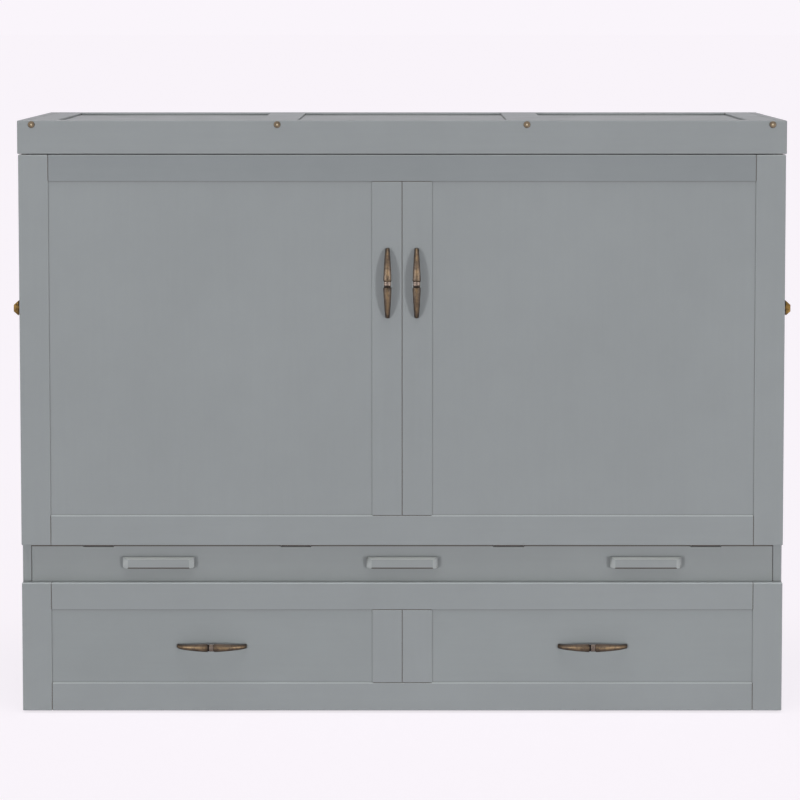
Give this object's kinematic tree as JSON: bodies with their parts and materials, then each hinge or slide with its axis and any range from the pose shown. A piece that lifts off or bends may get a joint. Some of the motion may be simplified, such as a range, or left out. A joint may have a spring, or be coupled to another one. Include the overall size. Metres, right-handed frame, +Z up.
{
  "type": "cabinet bed",
  "caption": "Closed grey cabinet bed with a hinged lid, fold-down front panel, rolling slatted foot section with a drawer, bow pulls and side latches.",
  "frame": {"origin": "on the floor under the middle of the closed bed's bounding box, pulls and lid hinges included", "axes": "+X to the right, -Y out of the front, +Z up"},
  "size_m": [1.6646, 0.707, 1.2796],
  "materials": {
    "grey_paint": "satin cool grey paint on wood",
    "back_ply": "satin cool grey paint on plywood",
    "pine": "clear-finished pine",
    "bronze": "antique bronze, rubbed",
    "steel": "zinc-plated steel",
    "nylon": "dark nylon",
    "wheel_rubber": "dark grey rubber"
  },
  "bodies": {
    "cabinet": {"side_frame_left": "grey_paint", "side_frame_right": "grey_paint", "side_infill_left": "grey_paint", "side_infill_right": "grey_paint", "back_frame": "grey_paint", "back_infill": "back_ply", "deck_front_rail": "pine", "deck_slats": "pine", "deck_cleats": "pine", "lid_bumpers": "nylon", "floor_glides": "nylon", "latch_bases": "bronze", "panel_hinge_fixed_leaves": "steel", "lid_hinge_fixed_leaves": "steel", "hinge_pins": "steel"},
    "lid": {"lid_front_board": "grey_paint", "lid_side_skirts": "grey_paint", "lid_back_board": "grey_paint", "lid_end_stiles": "grey_paint", "lid_rails": "grey_paint", "lid_crossbars": "grey_paint", "lid_infill": "grey_paint", "lid_bolts": "bronze", "lid_hinge_moving_leaves": "steel"},
    "front_panel": {"panel_outer_stiles": "grey_paint", "panel_rails": "grey_paint", "panel_centre_stiles": "grey_paint", "panel_infill": "grey_paint", "panel_battens": "pine", "panel_pull_left": "bronze", "panel_pull_right": "bronze", "panel_hinge_moving_leaves": "steel", "latch_studs": "bronze"},
    "foot_section": {"band_rail": "grey_paint", "finger_pulls": "grey_paint", "foot_sides": "pine", "foot_back_rail": "pine", "foot_ledger": "pine", "foot_bearers": "pine", "foot_slats": "pine", "caster_forks": "steel", "caster_axles": "steel", "runner_channels": "steel"},
    "drawer": {"drawer_outer_stiles": "grey_paint", "drawer_rails": "grey_paint", "drawer_centre_stiles": "grey_paint", "drawer_infill": "grey_paint", "drawer_sides": "pine", "drawer_box_ends": "pine", "drawer_bottom": "pine", "drawer_bottom_bearer": "pine", "drawer_pull_left": "bronze", "drawer_pull_right": "bronze", "runner_sliders": "steel"},
    "latch_left": {"latch_arm_left": "bronze"},
    "latch_right": {"latch_arm_right": "bronze"},
    "wheel_fl": {"wheel_front_left": "wheel_rubber"},
    "wheel_fr": {"wheel_front_right": "wheel_rubber"},
    "wheel_bl": {"wheel_back_left": "wheel_rubber"},
    "wheel_br": {"wheel_back_right": "wheel_rubber"}
  },
  "joints": [
    {"name": "lid_hinge", "type": "hinge", "parent": "cabinet", "child": "lid", "pos_m": [0, 0.35, 1.2072], "axis": [-1, 0, 0], "range_deg": [0, 95]},
    {"name": "panel_fold", "type": "hinge", "parent": "cabinet", "child": "front_panel", "pos_m": [0, -0.302, 0.3625], "axis": [1, 0, 0], "range_deg": [0, 90]},
    {"name": "foot_slide", "type": "slide", "parent": "cabinet", "child": "foot_section", "axis": [0, -1, 0], "range_m": [0, 1.4087]},
    {"name": "drawer_slide", "type": "slide", "parent": "foot_section", "child": "drawer", "axis": [0, -1, 0], "range_m": [0, 0.42]},
    {"name": "latch_left_swing", "type": "hinge", "parent": "cabinet", "child": "latch_left", "pos_m": [-0.824, -0.2795, 0.878], "axis": [-1, 0, 0], "range_deg": [0, 90]},
    {"name": "latch_right_swing", "type": "hinge", "parent": "cabinet", "child": "latch_right", "pos_m": [0.824, -0.2795, 0.878], "axis": [-1, 0, 0], "range_deg": [0, 90]},
    {"name": "wheel_fl_spin", "type": "hinge", "parent": "foot_section", "child": "wheel_fl", "pos_m": [-0.7885, -0.2437, 0.02], "axis": [1, 0, 0], "continuous": true},
    {"name": "wheel_fr_spin", "type": "hinge", "parent": "foot_section", "child": "wheel_fr", "pos_m": [0.7885, -0.2437, 0.02], "axis": [1, 0, 0], "continuous": true},
    {"name": "wheel_bl_spin", "type": "hinge", "parent": "foot_section", "child": "wheel_bl", "pos_m": [-0.7885, 0.2625, 0.02], "axis": [1, 0, 0], "continuous": true},
    {"name": "wheel_br_spin", "type": "hinge", "parent": "foot_section", "child": "wheel_br", "pos_m": [0.7885, 0.2625, 0.02], "axis": [1, 0, 0], "continuous": true}
  ]
}
